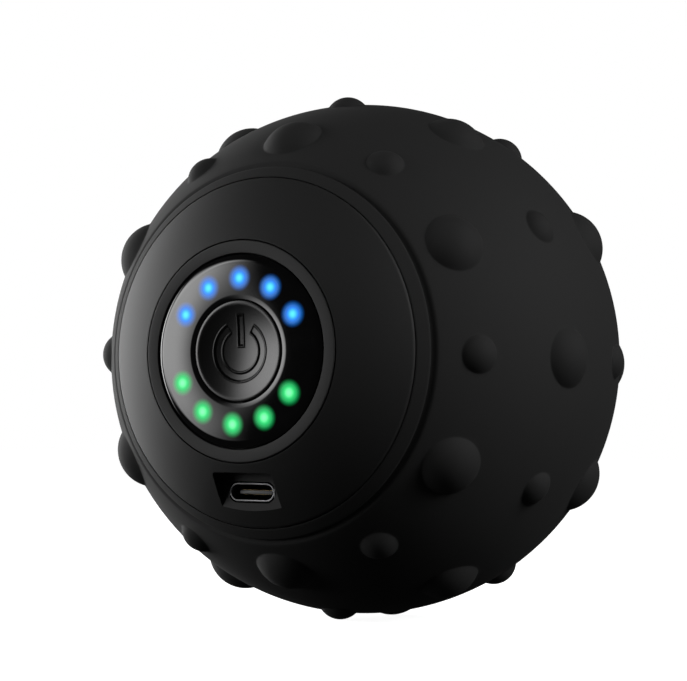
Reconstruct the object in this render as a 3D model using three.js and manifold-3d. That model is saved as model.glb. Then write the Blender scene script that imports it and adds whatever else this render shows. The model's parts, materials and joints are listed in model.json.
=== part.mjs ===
// A rechargeable vibrating massage ball: a rigid two-part shell in a studded silicone cover, with a
// control panel, a charging socket, a cell and an eccentric-weight motor inside.
//
// Units are millimetres. The ball is drawn about its own centre: +z points out of the control panel,
// +y is up and +x is to the right as one faces the panel. At the end the ball is turned so that the
// panel faces -Y with +Z up, and is set down with its lowest stud on Z = 0.
import * as THREE from "three";
import { mergeVertices } from "three/addons/utils/BufferGeometryUtils.js";
import Module from "manifold-3d";

const wasm = await Module();
wasm.setup();

// ---------------------------------------------------------------- driving dimensions
const GAP = 0.3; // clearance between pieces that are fitted to each other
const LAP = 1; // how far a tool or a joined feature runs past the face that it meets

const ballRadius = 46; // silicone surface between the studs
const coverWall = 2.7;
const shellWall = 2.2;

// The rings of studs from the collar back to the pole, and which columns hold the large ones.
const studRings = [
  { columns: 12, large: "even" },
  { columns: 12, large: "odd" },
  { columns: 12, large: "even" },
  { columns: 12, large: "odd" },
  { columns: 6, large: "all" },
  { columns: 1, large: "all" },
];
const firstRing = 14.3; // degrees from the cap's seam to the first ring of studs
const largeStud = { baseRadius: 5.27, height: 2.37, sides: 8, steps: 2 };
const smallStud = { baseRadius: 3.27, height: 1.55, sides: 6, steps: 2 };

const capRadius = 30; // the seam between the cap and the silicone
const capWall = 2.2;
const skirtWall = 2.8;
const collarWidth = 1.9; // raised silicone band round the cap
const grooveDepth = 0.6;
const grooveWidth = 1.4;

const bezelOuter = 18.8;
const bezelInner = 16.65;
const bezelHeight = 2.5;
const lensRadius = 16.35;
const lensEdge = 2.3; // height of the lens's outer wall
const lensCrown = 0.5; // how far the lens stands over the bezel
const ledgeInner = 14.6; // ledge of the cap that carries the bezel and the lens
const ledgeThickness = 2;

const buttonRadius = 8.6;
const flangeWidth = 1.6; // the button's flange, which the lens holds in
const buttonDish = 1;
const buttonTravel = 0.5;
const symbolOuter = 5;
const symbolInner = 3.7;
const symbolOpening = 31; // half angle of the gap at the top of the ring, in degrees
const symbolBar = { width: 1.1, low: 0.8, high: 6 };
const symbolDepth = 0.3;

const lightCircle = 12.4; // radius of the circle of indicator lights
const lightPipeRadius = 0.95;
const lightStep = 30; // degrees between neighbouring lights
const lightsPerRow = 5;
const batteryTurn = 4; // how far round from straight down the battery row sits, in degrees

const boardRadius = 26;
const boardThickness = 1.6;
const socketDrop = 23.84; // from the axis down to the charging socket
const socketRecess = { halfWidth: 6, top: 20.5, bottom: 27, wall: 1.1, floor: 1.5 };
const plugShell = { width: 8.94, height: 3.16, wall: 0.3, length: 7.3 };
const plugTongue = { width: 6.69, height: 0.7, setBack: 1.2 };

const motorRadius = 12.2;
const motorLength = 28;
const motorWall = 1.2;
const motorLift = 0.6; // between the can and the chassis plate
const shaftRadius = 1;
const shaftLength = 51;
const armature = { magnetGap: 2, length: 16, slots: 3, slotWidth: 2 };
const weight = { radius: 9.5, thickness: 7, hub: 3.5, standOff: 2.9 };

const cellRadius = 9.2;
const cellLength = 65.2;
const cellLift = 0.5; // between the cell and the chassis plate

const chassis = { halfX: 31.5, halfY: 22.6, corner: 6, thickness: 2.5, top: -1.8 };
const saddle = { offset: 10, width: 4, height: 9.8, cheek: 1.3 };
const clip = { offset: 18, width: 5, reach: 3.5, cheek: 1.8 };
const strap = { width: 8, thickness: 1.5, foot: 6, footHeight: 2.2 };

const housingScrew = { shank: 1.5, head: 2.7, headHeight: 2.4, engage: 9.5 };
const smallScrew = { shank: 1, head: 2, headHeight: 1.5 };
const housingScrewAt = { radius: 33, angle: 35 };
const bossWall = 1.6;
const boardScrewCircle = 22;
const boardBossRadius = 2.6;
const hook = { setBack: 2.5, thickness: 1.2, barb: 1.1, halfWidth: 3, barbHeight: 1.1 };

const leadRadius = 0.7;
const leadPitch = 2.2;

const SIDES = 36; // facets of the large round pieces
const SMALL_SIDES = 12;
const HOLE_SIDES = 8;

// ---------------------------------------------------------------- derived sizes
const shellOuter = ballRadius - coverWall - GAP;
const shellInner = shellOuter - shellWall;
const onBall = (radius) => Math.sqrt(ballRadius ** 2 - radius ** 2);
const seamHeight = onBall(capRadius);
const bezelTop = onBall(bezelOuter);
const bezelBore = bezelOuter + GAP;
const ledgeTop = bezelTop - bezelHeight - GAP;
const shoulder = Math.sqrt(shellOuter ** 2 - (capRadius + GAP) ** 2); // front shell's rim, under the cap
const capBottom = shoulder + GAP;
const hookOuter = capRadius - hook.setBack;
const hookInner = hookOuter - hook.thickness;
const hookHole = hookOuter + GAP + 0.2;
const skirtInner = capRadius - skirtWall;
const socketFloor = onBall(socketRecess.bottom);
const buttonFlange = buttonRadius + flangeWidth;
const ledgeBottom = ledgeTop - ledgeThickness;
const lensBottom = ledgeTop + GAP;
const lensTop = bezelTop + lensCrown;
const lensBore = buttonRadius + GAP;
const boardTop = socketFloor - plugShell.length - GAP;
const boardBottom = boardTop - boardThickness;
const onBoard = boardTop + GAP;
const underBoard = boardBottom - GAP;
const boardPilotTop = ledgeBottom - 2.2; // blind end of the holes for the board's screws
const chassisBottom = chassis.top - chassis.thickness;
const motorAxis = chassis.top + motorLift + motorRadius;
const cellAxis = chassisBottom - cellLift - cellRadius;
const armatureRadius = motorRadius - motorWall - armature.magnetGap;
const screwHole = housingScrew.shank + GAP;
const smallHole = smallScrew.shank + GAP;

// ---------------------------------------------------------------- finishes
const finish = (color, roughness, metalness = 0, extra = {}) =>
  new THREE.MeshStandardMaterial({ color, roughness, metalness, ...extra });
const silicone = finish(0x1b1b1b, 0.62);
const capPlastic = finish(0x1e1e1e, 0.5);
const bezelPlastic = finish(0x333333, 0.55);
const glossPlastic = finish(0x070707, 0.08);
const shellPlastic = finish(0x24262a, 0.6);
const framePlastic = finish(0xd8d6cf, 0.5);
const blueLight = finish(0x2fb4ff, 0.3, 0, { emissive: 0x1f9bff });
const greenLight = finish(0x35ff8c, 0.3, 0, { emissive: 0x22e070 });
const circuitBoard = finish(0x14532d, 0.45);
const chipPlastic = finish(0x17181a, 0.5);
const steel = finish(0xa9abad, 0.35, 1);
const zincAlloy = finish(0x7d8084, 0.5, 1);
const cellWrap = finish(0x1f5fa8, 0.3);
const redLead = finish(0xb3201c, 0.5);
const blackLead = finish(0x141414, 0.5);

// ---------------------------------------------------------------- solids
// A closed geometry as a manifold-3d solid.
function solid(geometry) {
  const bare = geometry.clone();
  bare.deleteAttribute("normal");
  bare.deleteAttribute("uv");
  const merged = mergeVertices(bare, 1e-4);
  return new wasm.Manifold(
    new wasm.Mesh({
      numProp: 3,
      vertProperties: merged.attributes.position.array,
      triVerts: new Uint32Array(merged.index.array),
    }),
  );
}

// A manifold-3d solid as a geometry with flat faces.
function geometryOf(made) {
  const mesh = made.getMesh();
  const indexed = new THREE.BufferGeometry()
    .setAttribute("position", new THREE.BufferAttribute(mesh.vertProperties, 3))
    .setIndex(new THREE.BufferAttribute(mesh.triVerts, 1));
  const flat = indexed.toNonIndexed();
  flat.computeVertexNormals();
  return flat;
}

const join = (...pieces) => geometryOf(pieces.map(solid).reduce((all, piece) => all.add(piece)));
const cut = (body, ...tools) => geometryOf(tools.map(solid).reduce((left, tool) => left.subtract(tool), solid(body)));
const common = (first, second) => geometryOf(solid(first).intersect(solid(second)));

// A profile of [radius, height] points, counterclockwise, turned about the z axis.
function turn(profile, sides = SIDES) {
  const points = profile.map(([radius, height]) => new THREE.Vector2(radius, height));
  return new THREE.LatheGeometry(points, sides).rotateX(Math.PI / 2);
}

// The same, for a profile that doesn't touch the axis: it is closed here.
const turnRing = (profile, sides = SIDES) => turn([...profile, profile[0]], sides);

function rod(radius, low, high, x = 0, y = 0, sides = SMALL_SIDES) {
  return turn([[0, low], [radius, low], [radius, high], [0, high]], sides).translate(x, y, 0);
}

function block([x0, x1], [y0, y1], [z0, z1]) {
  return new THREE.BoxGeometry(x1 - x0, y1 - y0, z1 - z0).translate((x0 + x1) / 2, (y0 + y1) / 2, (z0 + z1) / 2);
}

function prism(shape, low, high, curveSegments = 12) {
  const settings = { depth: high - low, bevelEnabled: false, curveSegments };
  return new THREE.ExtrudeGeometry(shape, settings).translate(0, 0, low);
}

// Turns a piece drawn about z so that it lies along x: its x goes to y, its y to z and its z to x.
const Y_AXIS = new THREE.Vector3(0, 1, 0);
const Z_AXIS = new THREE.Vector3(0, 0, 1);
const X_AXIS = new THREE.Vector3(1, 0, 0);
const alongX = (geometry) => geometry.applyMatrix4(new THREE.Matrix4().makeBasis(Y_AXIS, Z_AXIS, X_AXIS));

// Points of a circle about the centre, from one angle off the z axis to another.
function arcAboutCentre(radius, fromDegrees, toDegrees, steps) {
  return Array.from({ length: steps + 1 }, (_, i) => {
    const angle = THREE.MathUtils.degToRad(THREE.MathUtils.lerp(fromDegrees, toDegrees, i / steps));
    return [radius * Math.sin(angle), radius * Math.cos(angle)];
  });
}

// Points of a shallow arc between two points, bulging to the left of the way it runs if rise is positive.
function bulge([r0, z0], [r1, z1], rise, steps) {
  const length = Math.hypot(r1 - r0, z1 - z0);
  return Array.from({ length: steps + 1 }, (_, i) => {
    const t = i / steps;
    const lift = 4 * rise * t * (1 - t);
    return [r0 + (r1 - r0) * t - ((z1 - z0) / length) * lift, z0 + (z1 - z0) * t + ((r1 - r0) / length) * lift];
  });
}

const angleOf = ([radius, height]) => THREE.MathUtils.radToDeg(Math.atan2(radius, height));

// A point at a distance from the axis, clockwise from the top by an angle, as one faces the panel.
function aroundAxis(radius, degrees) {
  const angle = THREE.MathUtils.degToRad(degrees);
  return [radius * Math.sin(angle), radius * Math.cos(angle)];
}

function roundedRectangle(halfX, halfY, corner) {
  const shape = new THREE.Shape();
  shape.moveTo(halfX, -halfY + corner);
  shape.absarc(halfX - corner, halfY - corner, corner, 0, Math.PI / 2);
  shape.absarc(-halfX + corner, halfY - corner, corner, Math.PI / 2, Math.PI);
  shape.absarc(-halfX + corner, -halfY + corner, corner, Math.PI, 1.5 * Math.PI);
  shape.absarc(halfX - corner, -halfY + corner, corner, 1.5 * Math.PI, 2 * Math.PI);
  return shape;
}

const ball = new THREE.Group();

function piece(name, geometry, material) {
  const mesh = new THREE.Mesh(geometry, material);
  mesh.name = name;
  ball.add(mesh);
  return mesh;
}

// ---------------------------------------------------------------- silicone cover
// One stud: the part of a sphere that stands over the ball, with a root inside the cover's wall.
function stud({ baseRadius, height, sides, steps }) {
  const baseHeight = onBall(baseRadius);
  const rise = ballRadius + height - baseHeight;
  const sphere = (baseRadius ** 2 + rise ** 2) / (2 * rise);
  const centre = ballRadius + height - sphere;
  const rootHeight = baseHeight - LAP;
  const rootRadius = Math.sqrt(sphere ** 2 - (rootHeight - centre) ** 2);
  const rootAngle = angleOf([rootRadius, rootHeight - centre]);
  const dome = arcAboutCentre(sphere, rootAngle, 0, steps).map(([radius, z]) => [Math.max(radius, 0), z + centre]);
  dome[dome.length - 1][0] = 0;
  return turn([[0, rootHeight], ...dome], sides);
}

function studsOf(ring, index) {
  const first = angleOf([capRadius, seamHeight]) + firstRing;
  const polar = THREE.MathUtils.lerp(first, 180, index / (studRings.length - 1));
  const step = 360 / ring.columns;
  return Array.from({ length: ring.columns }, (_, column) => {
    const isLarge = ring.large === "all" || (ring.large === "even") === (column % 2 === 0);
    const tilt = new THREE.Matrix4().makeRotationX(-THREE.MathUtils.degToRad(polar));
    const spin = new THREE.Matrix4().makeRotationZ(-THREE.MathUtils.degToRad(column * step));
    return stud(isLarge ? largeStud : smallStud).applyMatrix4(spin.multiply(tilt));
  });
}

function siliconeCover() {
  const opening = capRadius + GAP;
  const collarEdge = [opening + collarWidth, onBall(opening + collarWidth)];
  const collarAngle = angleOf(collarEdge);
  const degreesPerMm = THREE.MathUtils.radToDeg(1 / ballRadius);
  const grooveEnd = collarAngle + grooveWidth * degreesPerMm;
  const [grooveFloor] = arcAboutCentre(ballRadius - grooveDepth, collarAngle, collarAngle, 1);
  const inner = shellOuter + GAP;
  const body = turn([
    ...arcAboutCentre(ballRadius, 180, grooveEnd, 15).map(([radius, z]) => [Math.max(radius, 0), z]),
    grooveFloor,
    collarEdge,
    [opening, onBall(opening)],
    ...arcAboutCentre(inner, angleOf([opening, Math.sqrt(inner ** 2 - opening ** 2)]), 180, 12),
  ]);
  return join(body, ...studRings.flatMap(studsOf));
}

piece("silicone_cover", siliconeCover(), silicone);

// ---------------------------------------------------------------- shell halves
const screwPlaces = [1, -1].flatMap((sideX) =>
  [1, -1].map((sideY) => {
    const [x, y] = aroundAxis(housingScrewAt.radius, 90 - housingScrewAt.angle);
    return [sideX * x, sideY * y];
  }),
);
const screwSeat = chassisBottom - 5.1; // floor of the counterbore that takes a screw's head
const frontBossRadius = screwHole + bossWall;
const rearBossRadius = housingScrew.head + GAP + bossWall / 2;
const bossRoot = shellInner + shellWall / 2;
const splitHalf = GAP / 2; // each half stops this far from the plane where they meet
const lip = { inner: shellInner - 1.8, outer: shellInner - GAP, height: 2.4, root: -6, blend: -8.5 };

function frontHousing() {
  const rimAngle = angleOf([capRadius + GAP, shoulder]);
  const body = turnRing([
    ...arcAboutCentre(shellOuter, 90, rimAngle, 6).map(([radius, z]) => [radius, Math.max(z, splitHalf)]),
    [hookHole, shoulder],
    ...arcAboutCentre(shellInner, angleOf([hookHole, Math.sqrt(shellInner ** 2 - hookHole ** 2)]), 90, 5).map(
      ([radius, z]) => [radius, Math.max(z, splitHalf)],
    ),
  ]);
  const core = new THREE.SphereGeometry(bossRoot, 24, 12);
  const bosses = screwPlaces.map(([x, y]) =>
    common(rod(frontBossRadius, chassis.top + GAP, shoulder, x, y), core),
  );
  const pilots = screwPlaces.map(([x, y]) => rod(screwHole, chassis.top, housingScrew.engage + GAP, x, y, HOLE_SIDES));
  return cut(join(body, ...bosses), ...pilots);
}

function rearHousing() {
  const blendRadius = Math.sqrt(shellInner ** 2 - lip.blend ** 2);
  const body = turn([
    ...arcAboutCentre(shellOuter, 180, 90, 8).map(([radius, z]) => [Math.max(radius, 0), Math.min(z, -splitHalf)]),
    [lip.outer, -splitHalf],
    [lip.outer, lip.height],
    [lip.inner, lip.height],
    [lip.inner, lip.root],
    ...arcAboutCentre(shellInner, angleOf([blendRadius, lip.blend]), 180, 6),
  ]);
  const core = new THREE.SphereGeometry(bossRoot, 24, 12);
  const bosses = screwPlaces.map(([x, y]) =>
    common(rod(rearBossRadius, -shellOuter, chassisBottom - GAP, x, y), core),
  );
  const holes = screwPlaces.flatMap(([x, y]) => [
    rod(housingScrew.head + GAP, -ballRadius, screwSeat, x, y, HOLE_SIDES),
    rod(screwHole, -ballRadius, chassisBottom, x, y, HOLE_SIDES),
  ]);
  return cut(join(body, ...bosses), ...holes);
}

piece("front_housing", frontHousing(), shellPlastic);
piece("rear_housing", rearHousing(), shellPlastic);

// ---------------------------------------------------------------- screws
// A pan-head screw along +z from the seat of its head, with a cross recess.
function screw({ shank, head, headHeight }, length, sides = 8) {
  const body = turn([[0, -headHeight], [head * 0.8, -headHeight], [head, -headHeight * 0.6], [head, 0], [shank, 0],
    [shank, length - shank], [shank * 0.3, length], [0, length]], sides);
  const arm = head * 0.6;
  const slot = head * 0.14;
  const recess = [-headHeight - LAP, -headHeight * 0.45];
  return cut(body, block([-arm, arm], [-slot, slot], recess), block([-slot, slot], [-arm, arm], recess));
}

screwPlaces.forEach(([x, y], i) => {
  const length = housingScrew.engage - screwSeat;
  piece(`housing_screw_${i + 1}`, screw(housingScrew, length).translate(x, y, screwSeat - GAP), steel);
});

// ---------------------------------------------------------------- front cap
const boardScrewPlaces = [0, 120, 240].map((degrees) => aroundAxis(boardScrewCircle, degrees));
const capFace = arcAboutCentre(
  ballRadius,
  angleOf([capRadius, seamHeight]),
  angleOf([bezelBore, onBall(bezelBore)]),
  4,
);

// The space under the cap's face, which limits what is joined to the cap from inside.
function underCapFace() {
  return turn([[0, capBottom], [capRadius, capBottom], ...capFace, [0, onBall(bezelBore)]]);
}

// A flat-sided oval, as a charging plug's, about the socket's place.
function plugOval(width, height) {
  const radius = height / 2;
  const run = width / 2 - radius;
  const shape = new THREE.Shape();
  shape.absarc(run, -socketDrop, radius, -Math.PI / 2, Math.PI / 2, false);
  shape.absarc(-run, -socketDrop, radius, Math.PI / 2, 1.5 * Math.PI, false);
  return shape;
}

function snapHook(degrees) {
  const { barb, halfWidth, barbHeight } = hook;
  const barbTop = Math.sqrt(shellInner ** 2 - (hookOuter + barb) ** 2) - 2 * GAP;
  const span = [-halfWidth, halfWidth];
  const arm = block(span, [hookInner, hookOuter], [barbTop - barbHeight, capBottom + LAP]);
  const tooth = block(span, [hookOuter - barb, hookOuter + barb], [barbTop - barbHeight, barbTop]);
  return join(arm, tooth).rotateZ(-THREE.MathUtils.degToRad(degrees));
}

function frontCap() {
  const shell = turnRing([
    [capRadius, capBottom],
    ...capFace,
    [bezelBore, ledgeTop],
    [ledgeInner, ledgeTop],
    [ledgeInner, ledgeBottom],
    [bezelBore + capWall, ledgeBottom],
    [skirtInner, seamHeight - capWall / 2],
    [skirtInner, capBottom],
  ]);
  const { halfWidth, top, bottom, wall, floor } = socketRecess;
  const tub = common(
    block([-halfWidth - wall, halfWidth + wall], [-bottom - wall / 2, -top + wall], [socketFloor - floor, bezelTop]),
    underCapFace(),
  );
  const bosses = boardScrewPlaces.map(([x, y]) => rod(boardBossRadius, onBoard, ledgeBottom + GAP, x, y));
  const hooks = [0, 90, 180, 270].map(snapHook);
  const pilots = boardScrewPlaces.map(([x, y]) => rod(smallHole, onBoard - LAP, boardPilotTop, x, y, HOLE_SIDES));
  return cut(
    join(shell, tub, ...bosses, ...hooks),
    block([-halfWidth, halfWidth], [-ballRadius, -top], [socketFloor, ballRadius]),
    prism(plugOval(plugShell.width + 2 * GAP, plugShell.height + 2 * GAP), boardTop, ballRadius, 6),
    ...pilots,
  );
}

piece("front_cap", frontCap(), capPlastic);

// ---------------------------------------------------------------- control panel
function bezelRing() {
  const edge = 0.25;
  return turnRing([[bezelInner, bezelTop - bezelHeight], [bezelOuter, bezelTop - bezelHeight],
    [bezelOuter, bezelTop - edge], [bezelOuter - edge, bezelTop], [bezelInner, bezelTop]]);
}

const lightPlaces = (startDegrees) =>
  Array.from({ length: lightsPerRow }, (_, i) => {
    const middle = (lightsPerRow - 1) / 2;
    return aroundAxis(lightCircle, startDegrees + (i - middle) * lightStep);
  });
const speedLightPlaces = lightPlaces(0);
const batteryLightPlaces = lightPlaces(180 + batteryTurn).reverse();

// One unbroken piece: the indicators shine through it. Its face climbs from a rounded edge to the button.
function panelLens() {
  const face = bulge([lensRadius, lensBottom + lensEdge], [lensBore, lensTop], -0.15, 5);
  return turnRing([[lensBore, lensBottom], [lensRadius, lensBottom], ...face]);
}

function lightBaffle() {
  const top = lensBottom - GAP;
  const disc = turnRing([[buttonFlange + GAP, top - ledgeThickness], [ledgeInner - GAP, top - ledgeThickness],
    [ledgeInner - GAP, top], [buttonFlange + GAP, top]]);
  const holes = [...speedLightPlaces, ...batteryLightPlaces].map(([x, y]) =>
    rod(lightPipeRadius + GAP, ledgeTop - ledgeThickness - LAP, lensBottom, x, y, HOLE_SIDES),
  );
  return cut(disc, ...holes);
}

piece("bezel_ring", bezelRing(), bezelPlastic);
piece("panel_lens", panelLens(), glossPlastic);
piece("light_baffle", lightBaffle(), chipPlastic);

// ---------------------------------------------------------------- indicator lights
const led = { width: 2, depth: 1.25, height: 0.9 };

function lightRow(label, places, material) {
  places.forEach(([x, y], i) => {
    const ledTop = onBoard + led.height;
    const chip = block([-led.width / 2, led.width / 2], [-led.depth / 2, led.depth / 2], [onBoard, ledTop]);
    piece(`${label}_led_${i + 1}`, chip.translate(x, y, 0), material);
    const pipe = rod(lightPipeRadius, ledTop + GAP, lensBottom - GAP, x, y, HOLE_SIDES);
    piece(`${label}_light_pipe_${i + 1}`, pipe, material);
  });
}

lightRow("speed", speedLightPlaces, blueLight);
lightRow("battery", batteryLightPlaces, greenLight);

// ---------------------------------------------------------------- power button and its switch
const switchBody = { side: 6, height: 3.4, bore: 2.1 };
const plunger = { radius: 1.75, top: onBoard + 5.3, bottom: onBoard + 1.3 };
const buttonRim = lensTop - 0.05;

function symbolTool(dishFloor) {
  const opening = THREE.MathUtils.degToRad(symbolOpening);
  const ring = new THREE.Shape();
  ring.absarc(0, 0, symbolOuter, Math.PI / 2 + opening, Math.PI / 2 - opening + 2 * Math.PI, false);
  ring.absarc(0, 0, symbolInner, Math.PI / 2 - opening, Math.PI / 2 + opening - 2 * Math.PI, true);
  const { width, low, high } = symbolBar;
  const floor = dishFloor - symbolDepth;
  return [prism(ring, floor, ballRadius, 14), block([-width / 2, width / 2], [low, high], [floor, ballRadius])];
}

function powerButton() {
  const edge = 0.35;
  const dishRadius = buttonRadius - 2 * edge;
  const flangeTop = lensBottom - GAP;
  const flangeBottom = flangeTop - 1.1;
  const stem = 2;
  const dish = Array.from({ length: 5 }, (_, i) => {
    const radius = dishRadius * (1 - i / 4);
    return [radius, buttonRim - buttonDish * (1 - (radius / dishRadius) ** 2)];
  });
  const body = turn([[0, plunger.top + GAP], [stem, plunger.top + GAP], [stem, flangeBottom],
    [buttonFlange, flangeBottom], [buttonFlange, flangeTop], [buttonRadius, flangeTop],
    [buttonRadius, buttonRim - edge], [buttonRadius - edge, buttonRim], ...dish], 32);
  return cut(body, ...symbolTool(buttonRim - buttonDish));
}

function tactSwitch() {
  const half = switchBody.side / 2;
  const body = block([-half, half], [-half, half], [onBoard, onBoard + switchBody.height]);
  const well = plunger.bottom - buttonTravel - GAP;
  return cut(body, rod(switchBody.bore, well, onBoard + switchBody.height + LAP));
}

piece("power_button", powerButton(), glossPlastic);
piece("switch_body", tactSwitch(), chipPlastic);
piece("switch_plunger", rod(plunger.radius, plunger.bottom, plunger.top), chipPlastic);

// ---------------------------------------------------------------- circuit board and what is on it
function controlBoard() {
  const holes = boardScrewPlaces.map(([x, y]) => rod(smallHole, boardBottom - LAP, boardTop + LAP, x, y, HOLE_SIDES));
  return cut(rod(boardRadius, boardBottom, boardTop, 0, 0, SIDES), ...holes);
}

function usbShell() {
  const { width, height, wall, length } = plugShell;
  const low = socketFloor - length;
  const back = 2 * wall;
  return cut(
    prism(plugOval(width, height), low, socketFloor, 6),
    prism(plugOval(width - 2 * wall, height - 2 * wall), low + back, socketFloor + LAP, 6),
  );
}

function usbTongue() {
  const { width, height, setBack } = plugTongue;
  const low = socketFloor - plugShell.length + 2 * plugShell.wall + GAP;
  return block([-width / 2, width / 2], [-socketDrop - height / 2, -socketDrop + height / 2],
    [low, socketFloor - setBack]);
}

// A box-shaped component hung under the board: its plan size, its depth and the place of its middle.
function underBoardBox(width, length, depth, x, y) {
  return block([x - width / 2, x + width / 2], [y - length / 2, y + length / 2], [underBoard - depth, underBoard]);
}

const leadSocket = { width: 6, length: 4.5, depth: 4, x: 14, y: 17 };

piece("control_board", controlBoard(), circuitBoard);
piece("usb_shell", usbShell(), steel);
piece("usb_tongue", usbTongue(), chipPlastic);
piece("control_chip", underBoardBox(6, 6, 1, 8, -6), chipPlastic);
piece("charging_chip", underBoardBox(5, 4, 1.4, -8, -13), chipPlastic);
piece("battery_socket", underBoardBox(leadSocket.width, leadSocket.length, leadSocket.depth, leadSocket.x,
  leadSocket.y), framePlastic);
piece("motor_socket", underBoardBox(leadSocket.width, leadSocket.length, leadSocket.depth, -leadSocket.x,
  leadSocket.y), framePlastic);
boardScrewPlaces.forEach(([x, y], i) => {
  piece(`board_screw_${i + 1}`, screw(smallScrew, boardPilotTop - GAP - underBoard).translate(x, y, underBoard), steel);
});

// ---------------------------------------------------------------- chassis that carries motor and cell
const strapScrewY = motorRadius + GAP + strap.thickness + strap.foot / 2;

function chassisFrame() {
  const plate = prism(roundedRectangle(chassis.halfX, chassis.halfY, chassis.corner), chassisBottom, chassis.top, 4);
  const saddleHalf = motorRadius + saddle.cheek;
  const clipHalf = cellRadius + GAP + clip.cheek;
  const sides = [1, -1];
  const saddles = sides.map((side) =>
    block([-saddle.width / 2, saddle.width / 2], [-saddleHalf, saddleHalf],
      [chassis.top - LAP, chassis.top + saddle.height]).translate(side * saddle.offset, 0, 0),
  );
  const clips = sides.map((side) =>
    block([-clip.width / 2, clip.width / 2], [-clipHalf, clipHalf], [cellAxis - clip.reach, chassis.top - LAP])
      .translate(side * clip.offset, 0, 0),
  );
  const motorBed = alongX(rod(motorRadius + GAP, -motorLength, motorLength, 0, motorAxis, 32));
  const cellBed = alongX(rod(cellRadius + GAP, -cellLength, cellLength, 0, cellAxis, 24));
  const screwHoles = screwPlaces.map(([x, y]) => rod(screwHole, chassisBottom - LAP, chassis.top + LAP, x, y, HOLE_SIDES));
  const strapHoles = sides.map((side) =>
    rod(smallHole, chassisBottom - LAP, chassis.top + LAP, 0, side * strapScrewY, HOLE_SIDES),
  );
  return cut(join(plate, ...saddles, ...clips), motorBed, cellBed, ...screwHoles, ...strapHoles);
}

// The strap's outline in the plane across the motor: an arch over the can, two legs and two feet.
function motorStrap() {
  const inner = motorRadius + GAP;
  const outer = inner + strap.thickness;
  const bottom = chassis.top + GAP;
  const footTop = bottom + strap.footHeight;
  const shape = new THREE.Shape();
  shape.moveTo(outer + strap.foot, bottom);
  shape.lineTo(outer + strap.foot, footTop);
  shape.lineTo(outer, footTop);
  shape.lineTo(outer, motorAxis);
  shape.absarc(0, motorAxis, outer, 0, Math.PI, false);
  shape.lineTo(-outer, footTop);
  shape.lineTo(-outer - strap.foot, footTop);
  shape.lineTo(-outer - strap.foot, bottom);
  shape.lineTo(-inner, bottom);
  shape.lineTo(-inner, motorAxis);
  shape.absarc(0, motorAxis, inner, Math.PI, 0, true);
  shape.lineTo(inner, bottom);
  const arch = alongX(prism(shape, -strap.width / 2, strap.width / 2, 10));
  const holes = [1, -1].map((side) => rod(smallHole, bottom - LAP, footTop + LAP, 0, side * strapScrewY, HOLE_SIDES));
  return cut(arch, ...holes);
}

piece("chassis", chassisFrame(), framePlastic);
piece("motor_strap", motorStrap(), steel);
[1, -1].forEach((side, i) => {
  const seat = chassis.top + 2 * GAP + strap.footHeight;
  const length = seat - chassisBottom;
  const turned = screw(smallScrew, length).rotateX(Math.PI);
  piece(`strap_screw_${i + 1}`, turned.translate(0, side * strapScrewY, seat), steel);
});

// ---------------------------------------------------------------- vibration motor
const halfMotor = motorLength / 2;
const shaftHole = shaftRadius + GAP;

// A piece turned about the motor's own axis, from a profile of [radius, place along x] points.
const onMotorAxis = (geometry) => alongX(geometry).translate(0, 0, motorAxis);

function motorCan() {
  return turnRing([[motorRadius, -halfMotor], [motorRadius, halfMotor], [shaftHole, halfMotor],
    [shaftHole, halfMotor - motorWall], [motorRadius - motorWall, halfMotor - motorWall],
    [motorRadius - motorWall, -halfMotor]], 24);
}

function motorEndCap() {
  const face = -halfMotor - GAP;
  const back = face - 1.4;
  const hub = { radius: 4, height: 0.9 };
  return turnRing([[shaftHole, face], [shaftHole, back - hub.height], [hub.radius, back - hub.height],
    [hub.radius, back], [motorRadius - GAP, back], [motorRadius - GAP, face]], 24);
}

function armatureCore() {
  const half = armature.length / 2;
  const core = turnRing([[shaftHole, -half], [armatureRadius, -half], [armatureRadius, half], [shaftHole, half]], 24);
  const slots = Array.from({ length: armature.slots }, (_, i) =>
    block([-armature.slotWidth / 2, armature.slotWidth / 2], [armatureRadius / 2, armatureRadius + LAP],
      [-half - LAP, half + LAP]).rotateZ((2 * Math.PI * i) / armature.slots),
  );
  return cut(core, ...slots);
}

// A half disc on a hub, heavy side down, drawn with x across and y up.
function eccentricWeight() {
  const shape = new THREE.Shape();
  shape.moveTo(-weight.radius, 0);
  shape.absarc(0, 0, weight.radius, Math.PI, 2 * Math.PI, false);
  shape.lineTo(weight.hub, 0);
  shape.absarc(0, 0, weight.hub, 0, Math.PI, false);
  return cut(prism(shape, 0, weight.thickness, 12), rod(shaftHole, -LAP, weight.thickness + LAP, 0, 0, 12));
}

// Along the motor's axis the drawing's x is the ball's y, so a quarter turn brings its heavy side down.
const hangDown = (geometry) => geometry.rotateZ(-Math.PI / 2);

piece("motor_can", onMotorAxis(motorCan()), steel);
piece("motor_end_cap", onMotorAxis(motorEndCap()), chipPlastic);
piece("armature_core", onMotorAxis(armatureCore()), zincAlloy);
piece("motor_shaft", onMotorAxis(rod(shaftRadius, -shaftLength / 2, shaftLength / 2, 0, 0, 12)), steel);
[["right", halfMotor + weight.standOff], ["left", -halfMotor - weight.standOff - weight.thickness]].forEach(
  ([side, start]) => {
    const half = hangDown(eccentricWeight()).translate(0, 0, start);
    piece(`eccentric_weight_${side}`, onMotorAxis(half), zincAlloy);
  },
);

// ---------------------------------------------------------------- cell
function cell() {
  const half = cellLength / 2;
  const lidRadius = cellRadius - 0.6;
  const neck = { depth: 0.5, from: half - 4.2, to: half - 3 };
  return turn([[0, -half], [lidRadius, -half], [cellRadius, -half + 0.6], [cellRadius, neck.from],
    [cellRadius - neck.depth, (neck.from + neck.to) / 2], [cellRadius, neck.to], [cellRadius, half - 0.6],
    [lidRadius, half], [0, half]], 24);
}

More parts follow.
